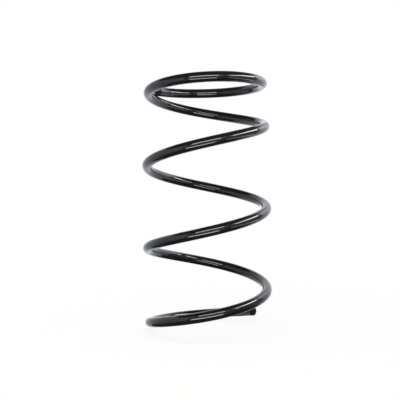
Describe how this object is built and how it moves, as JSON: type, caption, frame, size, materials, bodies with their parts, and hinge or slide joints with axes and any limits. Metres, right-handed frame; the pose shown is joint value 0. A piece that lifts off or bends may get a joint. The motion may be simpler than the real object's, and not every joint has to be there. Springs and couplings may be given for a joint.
{
  "type": "suspension spring",
  "caption": "Coil spring for a car's front suspension strut: round steel bar wound into an open coil with a nearly closed upper end, painted gloss black.",
  "frame": {"origin": "centre of the lower spring seat: on the coil's axis, level with the lowest point of the bar", "axes": "+Z along the coil's axis from the lower seat to the upper one, -Y towards the viewer of the picture and +X to the viewer's right"},
  "size_m": [0.1514, 0.1514, 0.295],
  "materials": {
    "painted_spring_steel": "gloss black baked paint"
  },
  "bodies": {
    "root": {"coil_spring": "painted_spring_steel"}
  },
  "joints": []
}
